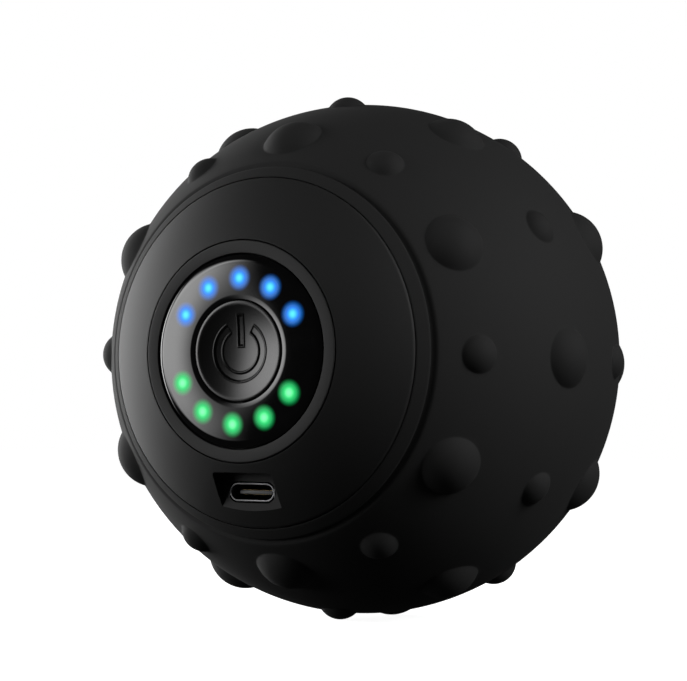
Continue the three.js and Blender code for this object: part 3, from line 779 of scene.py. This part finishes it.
class BALL_OT_cap(bpy.types.Operator):
    """Makes the rigid front cap: its face, the panel's ledge, the charging recess, bosses and hooks"""

    bl_idname = "ball.cap"
    bl_label = "Front Cap"

    recess_half: FloatProperty(
        name="Recess half width", description="Half the recess's width, mm", default=6.0
    )
    recess_top: FloatProperty(name="Recess top", description="Its top below the axis, mm", default=20.5)
    recess_bottom: FloatProperty(
        name="Recess bottom", description="Its bottom below the axis, mm", default=27.0
    )

    def shell(self, radius):
        bore = BEZEL_RADIUS + SEAM
        ledge = height_of("bezel_ring", 1) - SHELL_GAP
        under = ledge - LEDGE_THICKNESS
        foot = height_of("front_housing") + SHELL_GAP
        rim, lip = 0.12, 0.2  # rounds at the cap's seam and at the bezel
        mouth = LENS_RADIUS - 1.75
        skirt = CAP_RADIUS - 2.8
        face = arc((0, 0), radius, polar_of(radius, CAP_RADIUS - rim), polar_of(radius, bore + lip), 40)
        points = [(CAP_RADIUS, foot), (CAP_RADIUS, on_sphere(radius, CAP_RADIUS) - rim), *face]
        points += [(bore + lip * 0.3, on_sphere(radius, bore) - lip * 0.25)]
        points += [(bore, on_sphere(radius, bore) - lip), (bore, ledge), (mouth, ledge), (mouth, under)]
        points += [(bore + 2.2, under), (skirt, on_sphere(radius, CAP_RADIUS) - 1.1), (skirt, foot)]
        return lathe("front_cap_shell", points, 240)

    def tub(self, radius, floor):
        wall, base, skin = 1.1, 1.5, 0.2
        side = self.recess_half + wall
        foot, head = -self.recess_bottom - wall / 2, -self.recess_top + wall
        tub = box_piece("recess_walls", (-side, side), (foot, head), (floor - base, radius))
        inside = arc((0, 0), radius - skin, 90, 0, 60)
        dome = lathe("inside_face", [(0, 0), *inside], 180, closed=False)
        return apply_boolean(tub, [dome], "INTERSECT")

    def bosses(self):
        low = height_of("control_board") + SHELL_GAP
        high = height_of("bezel_ring", 1) - LEDGE_THICKNESS
        bore, outer, reach = 1.3, 2.6, 22
        made = []
        for i in range(3):
            turn = Matrix.Rotation(math.radians(-120 * i), 4, "Z")
            boss = lathe("board_boss", [(bore, low), (outer, low), (outer, high), (bore, high)], 32)
            boss.data.transform(turn @ Matrix.Translation((0, reach, 0)))
            made.append(boss)
        return made

    def hooks(self):
        outer = CAP_RADIUS - 2.5
        low = height_of("front_cap", 1)
        foot = height_of("front_housing") + SHELL_GAP
        half, bite = 3, 1.1
        made = []
        for i in range(4):
            arm = box_piece("hook", (-half, half), (outer - 1.2, outer), (low, foot + 1))
            tooth = box_piece("tooth", (-half, half), (outer - 0.9, outer + bite), (low, low + bite))
            bevel_edges(tooth, lambda middle, way: abs(way.x) > 0.9 and middle.y > outer, 0.5, 3)
            apply_boolean(arm, [tooth], "UNION")
            arm.data.transform(Matrix.Rotation(math.radians(-90 * i), 4, "Z"))
            made.append(arm)
        return made

    def execute(self, context):
        radius = context.scene.ball_cover.radius
        floor = on_sphere(radius, self.recess_bottom)
        half = self.recess_half
        cap = self.shell(radius)
        apply_boolean(cap, [self.tub(radius, floor), *self.bosses(), *self.hooks()], "UNION")
        cutter = box_piece("recess", (-half, half), (-radius, -self.recess_top), (floor, radius))
        bevel_edges(cutter, along_axis, 0.7, 6)
        middle = middle_height("usb_shell")
        slot = stadium("port_hole", PORT_WIDTH + 0.5, PORT_HEIGHT + 0.5, middle, floor - 6, radius)
        apply_boolean(cap, [cutter, slot], "DIFFERENCE")
        place(cap, angle=30)
        register_piece(cap, "ball", ["front_cap"], bpy.data.materials["cap_plastic"])
        return {"FINISHED"}


# ---------------------------------------------------------------------- control panel


class BALL_OT_panel(bpy.types.Operator):
    """Makes the flat bezel ring and the domed black lens that the lights shine through"""

    bl_idname = "ball.panel"
    bl_label = "Bezel and Lens"

    def bezel(self, panel):
        inner = BEZEL_RADIUS - panel.bezel_width
        low, high = height_of("bezel_ring", 1), height_of("bezel_ring")
        outline = [(inner, low), (BEZEL_RADIUS, low), (BEZEL_RADIUS, high), (inner, high)]
        ring = place(lathe("bezel", rounded(outline, {2: 0.22, 3: 0.12}), 240))
        register_piece(ring, "ball", ["bezel_ring"], bpy.data.materials["bezel_plastic"])

    def lens(self, panel):
        """Almost flush at the rim, with a sloped edge, a slight crown and a chamfer round the button."""
        bore = panel.button_radius + SEAM
        low, high = height_of("panel_lens", 1), height_of("panel_lens")
        rim = height_of("bezel_ring") - 0.16
        shoulder = high - 0.2
        inner_edge = LENS_RADIUS - panel.lens_edge
        mouth = bore + panel.lens_chamfer
        climb, crown = [], []
        for i in range(9):
            height = rim + (shoulder - rim) * math.sin(math.pi * i / 16)
            climb.append((LENS_RADIUS - panel.lens_edge * i / 8, height))
        for i in range(1, 25):
            share = i / 24
            height = shoulder + (high - shoulder) * (2 * share - share**2)
            crown.append((inner_edge - (inner_edge - mouth) * share, height))
        mouth_edge = [(bore + 0.1, high - 0.06), (bore, high - 0.16)]
        outline = [(bore, low), (LENS_RADIUS, low), (LENS_RADIUS, rim - 0.1), *climb, *crown, *mouth_edge]
        lens = place(lathe("lens", outline, 240), angle=24)
        register_piece(lens, "ball", ["panel_lens"], bpy.data.materials["lens_black"])

    def execute(self, context):
        panel = context.scene.ball_panel
        self.bezel(panel)
        self.lens(panel)
        return {"FINISHED"}


class BALL_OT_button(bpy.types.Operator):
    """Makes the dished power button with its engraved symbol"""

    bl_idname = "ball.button"
    bl_label = "Power Button"

    opening: FloatProperty(
        name="Opening", description="Half angle of the gap in the symbol's ring, degrees", default=31.0
    )
    draft: FloatProperty(
        name="Draft", description="How far a groove's wall leans out for each mm of depth", default=1.3
    )
    lip: FloatProperty(
        name="Lip", description="Width of the raised edge along the groove, mm", default=0.28
    )
    bar_slimmer: FloatProperty(
        name="Slimmer bar", description="How much less the bar's half width is, mm", default=0.22
    )
    land: FloatProperty(name="Land", description="Width of the level edge round the dish, mm", default=0.55)
    bar_low: FloatProperty(
        name="Bar's foot", description="Lower end of the bar's middle line, mm", default=1.4
    )
    bar_high: FloatProperty(
        name="Bar's head", description="Upper end of the bar's middle line, mm", default=5.6
    )

    def dish_height(self, panel, reach):
        """The dish's surface at a distance from the axis."""
        dish = panel.button_radius - self.land
        return height_of("power_button") - panel.button_dish * (1 - (reach / dish) ** 2)

    def body(self, panel):
        rim = height_of("power_button")
        stem = height_of("power_button", 1)
        flange = node_size("power_button").x / 2
        seat = height_of("panel_lens", 1) - SHELL_GAP
        outer = panel.button_radius
        reaches = [(outer - self.land) * (1 - i / 28) for i in range(29)]
        under = seat - 1.1
        points = [(0, stem), (2, stem), (2, under), (flange, under), (flange, seat), (outer, seat)]
        points += [(outer, rim - 0.14), (outer - 0.04, rim - 0.04), (outer - 0.14, rim)]
        points += [(reach, self.dish_height(panel, reach)) for reach in reaches]
        return lathe("button", points, 200, closed=False)

    def ring(self, panel, low, high):
        """The symbol's open ring; low and high are each a height over the dish and half a width."""
        middle = panel.symbol_radius - panel.symbol_line / 2
        deselect()
        bpy.ops.mesh.primitive_plane_add(size=2, location=(0, 0, 0), rotation=(math.pi / 2, 0, 0))
        ring = new_piece("symbol_ring")
        bpy.ops.object.transform_apply(location=False, rotation=True, scale=False)
        for corner in ring.data.vertices:
            height, half = high if corner.co.z > 0 else low
            corner.co = (middle + math.copysign(half, corner.co.x), 0, height)
        ring.data.transform(Matrix.Rotation(math.radians(90 - self.opening), 4, "Z"))
        edit(ring)
        bpy.ops.mesh.select_all(action="SELECT")
        sweep = math.radians(360 - 2 * self.opening)
        bpy.ops.mesh.spin(steps=72, angle=sweep, center=NO_TURN, axis=(0, 0, 1))
        clean(ring)
        finish_edit()
        return ring

    def bar(self, low, high):
        """The symbol's upright bar, from self.bar_low to self.bar_high."""
        (floor, narrow), (top, wide) = low, high
        ends = (self.bar_low - narrow, self.bar_high + narrow)
        bar = box_piece("symbol_bar", (-narrow, narrow), ends, (floor, top))
        edit(bar)
        pick(bar, "faces", lambda centre, normal: normal.z > 0.9)
        length = self.bar_high - self.bar_low
        bpy.ops.transform.resize(value=(wide / narrow, (length + 2 * wide) / (length + 2 * narrow), 1))
        pick(bar, "edges", lambda centre, way: abs(way.y) > 0.9)
        bpy.ops.mesh.subdivide(number_cuts=14)
        finish_edit()
        return bar

    def symbol(self, panel, low, high):
        """The ring and the narrower bar as one tool, bent to follow the dish."""
        slim = [(height, half - self.bar_slimmer) for height, half in (low, high)]
        tool = joined("symbol", [self.ring(panel, low, high), self.bar(*slim)])
        for vertex in tool.data.vertices:
            vertex.co.z += self.dish_height(panel, math.hypot(vertex.co.x, vertex.co.y))
        return tool

    def execute(self, context):
        """The symbol first swells over the dish, then a wide groove leaves only its raised edges."""
        panel = context.scene.ball_panel
        half, depth, lip = panel.symbol_line / 2, panel.symbol_depth, self.lip
        button = self.body(panel)
        root, crest = (-0.06, half + 1.9 * lip), (0.55 * lip, half + 0.95 * lip)
        apply_boolean(button, [self.symbol(panel, root, crest)], "UNION")
        narrow = half - self.draft * depth
        floor, above = (-depth, narrow), (1, narrow + self.draft * (1 + depth))
        apply_boolean(button, [self.symbol(panel, floor, above)], "DIFFERENCE")
        place(button, angle=30)
        gloss = bpy.data.materials["gloss_black"]
        register_piece(button, "power_button", ["power_button"], gloss)
        return {"FINISHED"}


class BALL_OT_port(bpy.types.Operator):
    """Makes the charging port: its drawn steel shell, the tongue and the contacts"""

    bl_idname = "ball.port"
    bl_label = "Charging Port"

    def shell(self, middle):
        low, high = height_of("usb_shell", 1), height_of("usb_shell")
        wall = 0.3
        shell = stadium("port_shell", PORT_WIDTH, PORT_HEIGHT, middle, low, high, 12)
        edit(shell)
        pick(shell, "faces", lambda centre, normal: normal.z > 0.9 and centre.z > high - 0.01)
        bpy.ops.mesh.inset(thickness=wall)
        bpy.ops.mesh.extrude_region_move(TRANSFORM_OT_translate={"value": (0, 0, low + 2 * wall - high)})
        bpy.ops.mesh.select_all(action="SELECT")
        bpy.ops.mesh.normals_make_consistent(inside=False)
        finish_edit()
        bevel_edges(shell, lambda at, way: abs(way.z) < 0.01 and at.z > high - 0.001, 0.07, 2)
        place(shell, angle=40)
        register_piece(shell, "ball", ["usb_shell"], bpy.data.materials["port_steel"])

    def tongue(self, middle):
        low, high = height_of("usb_tongue", 1), height_of("usb_tongue")
        half, rise = TONGUE.x / 2, TONGUE.z / 2
        tongue = box_piece("port_tongue", (-half, half), (middle - rise, middle + rise), (low, high))
        bevel_edges(tongue, lambda at, way: at.z > high - 0.01, 0.15, 3)
        place(tongue)
        plastic = bpy.data.materials["tongue_plastic"]
        register_piece(tongue, "ball", ["usb_tongue"], plastic)
        strips = []
        rows, pitch, width, gap, thick = 12, 0.5, 0.26, 0.005, 0.03
        for i in range(rows):
            x = (i - (rows - 1) / 2) * pitch
            for side in (-1, 1):
                face = middle + side * (rise + gap)
                across = sorted((face, face + side * thick))
                sides = (x - width / 2, x + width / 2)
                strips.append(box_piece("contact", sides, across, (low + 0.2, high - 0.35)))
        contacts = place(joined("port_contacts", strips))
        contacts.data.materials.append(bpy.data.materials["contact_gold"])
        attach(contacts, "ball")

    def execute(self, context):
        middle = middle_height("usb_shell")
        self.shell(middle)
        self.tongue(middle)
        return {"FINISHED"}


class BALL_OT_insides(bpy.types.Operator):
    """Gives each carried-over node the finish of its slot"""

    bl_idname = "ball.insides"
    bl_label = "Inner Pieces"

    def execute(self, context):
        slots = {part["node"]: part["material_slot"] for part in frame["record"]["subparts"]}
        for name, node in frame["nodes"].items():
            node.data.materials.clear()
            node.data.materials.append(bpy.data.materials[slots[name]])
        return {"FINISHED"}


# ---------------------------------------------------------------------- stage


def direction(azimuth, elevation):
    turn, tilt = math.radians(azimuth), math.radians(elevation)
    return Vector((math.sin(turn) * math.cos(tilt), -math.cos(turn) * math.cos(tilt), math.sin(tilt)))


def softbox(name, azimuth, elevation, size, radiance, fade):
    """A rectangular light facing the ball, as bright as its radiance, that dims towards its edges.

    fade is the share of the light's width and of its height over which it dims.
    """
    data = bpy.data.lights.new(name, "AREA")
    data.shape = "RECTANGLE"
    data.size, data.size_y = size
    data.energy = radiance * math.pi * size[0] * size[1]
    data.use_nodes = True
    tree = data.node_tree
    face = tree.nodes.new("ShaderNodeNewGeometry")
    split = tree.nodes.new("ShaderNodeSeparateXYZ")
    tree.links.new(face.outputs["Parametric"], split.inputs[0])
    product = tree.nodes.new("ShaderNodeMath")
    product.operation = "MULTIPLY"
    for i, axis in enumerate(("X", "Y")):
        off = tree.nodes.new("ShaderNodeMath")
        off.operation = "SUBTRACT"
        off.inputs[1].default_value = 0.5
        tree.links.new(split.outputs[axis], off.inputs[0])
        reach = tree.nodes.new("ShaderNodeMath")
        reach.operation = "ABSOLUTE"
        tree.links.new(off.outputs[0], reach.inputs[0])
        ramp = tree.nodes.new("ShaderNodeMapRange")
        ramp.interpolation_type = "SMOOTHSTEP"
        ramp.inputs["From Min"].default_value = 0.5 - fade[i]
        ramp.inputs["From Max"].default_value = 0.5
        ramp.inputs["To Min"].default_value = 1.0
        ramp.inputs["To Max"].default_value = 0.0
        tree.links.new(reach.outputs[0], ramp.inputs["Value"])
        tree.links.new(ramp.outputs[0], product.inputs[i])
    tree.links.new(product.outputs[0], tree.nodes["Emission"].inputs["Strength"])
    lamp = bpy.data.objects.new(name, data)
    bpy.context.scene.collection.objects.link(lamp)
    way = direction(azimuth, elevation)
    lamp.location = CENTRE + way * LIGHT_DISTANCE
    lamp.rotation_euler = way.to_track_quat("Z", "Y").to_euler()
    return lamp


class BALL_OT_stage(bpy.types.Operator):
    """Makes the floor, the lights, the backdrop and the camera"""

    bl_idname = "ball.stage"
    bl_label = "Stage"

    def floor(self):
        """Pale everywhere from painted emission, which is a little lower near the middle: painted shade round
        the ball where its soft contact shadow falls.
        """
        deselect()
        bpy.ops.mesh.primitive_circle_add(vertices=96, radius=4.0, fill_type="NGON", location=(0, 0, 0))
        floor = new_piece("floor")
        graph = Graph("floor_white")
        away = graph.node("ShaderNodeVectorMath", {"operation": "LENGTH"}, {0: graph.place()}, output=1)
        # painted shade: the floor's emission ramps from darker near the ball to full white far away
        glow = graph.smoothstep(away, 0.03, 0.4)
        graph.shade(
            Base_Color=graph.mix(graph.noise(6.0), (0.86, 0.86, 0.86), (0.9, 0.9, 0.9)),
            Roughness=0.7,
            Emission_Color=graph.mix(glow, (0.93, 0.93, 0.93), (1.0, 1.0, 1.0)),
            Emission_Strength=1.0,
        )
        floor.data.materials.append(graph.material)
        floor.visible_diffuse = False
        floor.visible_glossy = False

    def backdrop(self):
        world = bpy.data.worlds.new("studio")
        bpy.context.scene.world = world
        world.use_nodes = True
        tree = world.node_tree
        shown = tree.nodes["Background"]
        shown.inputs["Color"].default_value = (0.02, 0.02, 0.02, 1)
        white = tree.nodes.new("ShaderNodeBackground")
        white.inputs["Color"].default_value = (1, 1, 1, 1)
        path = tree.nodes.new("ShaderNodeLightPath")
        blend = tree.nodes.new("ShaderNodeMixShader")
        tree.links.new(path.outputs["Is Camera Ray"], blend.inputs["Fac"])
        tree.links.new(shown.outputs[0], blend.inputs[1])
        tree.links.new(white.outputs[0], blend.inputs[2])
        tree.links.new(blend.outputs[0], tree.nodes["World Output"].inputs["Surface"])

    def lights(self):
        softbox("front_left", azimuth=-52, elevation=9, size=(0.74, 0.78), radiance=4.9, fade=(0.22, 0.35))
        softbox("left_rear", azimuth=-100, elevation=3, size=(0.8, 0.85), radiance=8.2, fade=(0.25, 0.3))
        softbox("right_key", azimuth=96, elevation=28, size=(0.4, 0.6), radiance=13.0, fade=(0.3, 0.3))

    def camera(self, stage):
        data = bpy.data.cameras.new("camera")
        data.lens = stage.lens
        data.sensor_width = 36.0
        data.shift_x, data.shift_y = stage.shift_x, stage.shift_y
        data.clip_start = 0.01
        camera = bpy.data.objects.new("camera", data)
        bpy.context.scene.collection.objects.link(camera)
        way = direction(stage.azimuth, stage.elevation)
        camera.location = CENTRE + way * stage.distance * MM
        facing = way.to_track_quat("Z", "Y").to_matrix().to_4x4()
        turned = facing @ Matrix.Rotation(math.radians(stage.roll), 4, "Z")
        camera.rotation_euler = turned.to_euler()
        bpy.context.scene.camera = camera

    def execute(self, context):
        scene = context.scene
        scene.view_settings.view_transform = "Standard"
        scene.view_settings.look = "None"
        self.floor()
        self.backdrop()
        self.lights()
        self.camera(scene.ball_stage)
        return {"FINISHED"}


# ---------------------------------------------------------------------- add-on


OPERATORS = (
    BALL_OT_stage,
    BALL_OT_cover,
    BALL_OT_cap,
    BALL_OT_panel,
    BALL_OT_button,
    BALL_OT_port,
    BALL_OT_insides,
)


class VIEW3D_PT_massage_ball(bpy.types.Panel):
    """Lists the ball's pieces and sizes"""

    bl_idname = "VIEW3D_PT_massage_ball"
    bl_label = "Massage Ball"
    bl_space_type = "VIEW_3D"
    bl_region_type = "UI"
    bl_category = "Massage Ball"

    def draw(self, context):
        for name, group in SETTINGS.items():
            column = self.layout.column()
            for prop in group.__annotations__:
                column.prop(getattr(context.scene, name), prop)
        for operator in OPERATORS:
            self.layout.operator(operator.bl_idname)


CLASSES = (*SETTINGS.values(), *OPERATORS, VIEW3D_PT_massage_ball)


def register():
    for item in CLASSES:
        bpy.utils.register_class(item)
    for name, group in SETTINGS.items():
        setattr(bpy.types.Scene, name, PointerProperty(type=group))


def unregister():
    for name in SETTINGS:
        delattr(bpy.types.Scene, name)
    for item in reversed(CLASSES):
        bpy.utils.unregister_class(item)


def main():
    register()
    make_finishes()
    for operator in OPERATORS:
        family, name = operator.bl_idname.split(".")
        getattr(getattr(bpy.ops, family), name)()


if __name__ == "__main__":
    main()
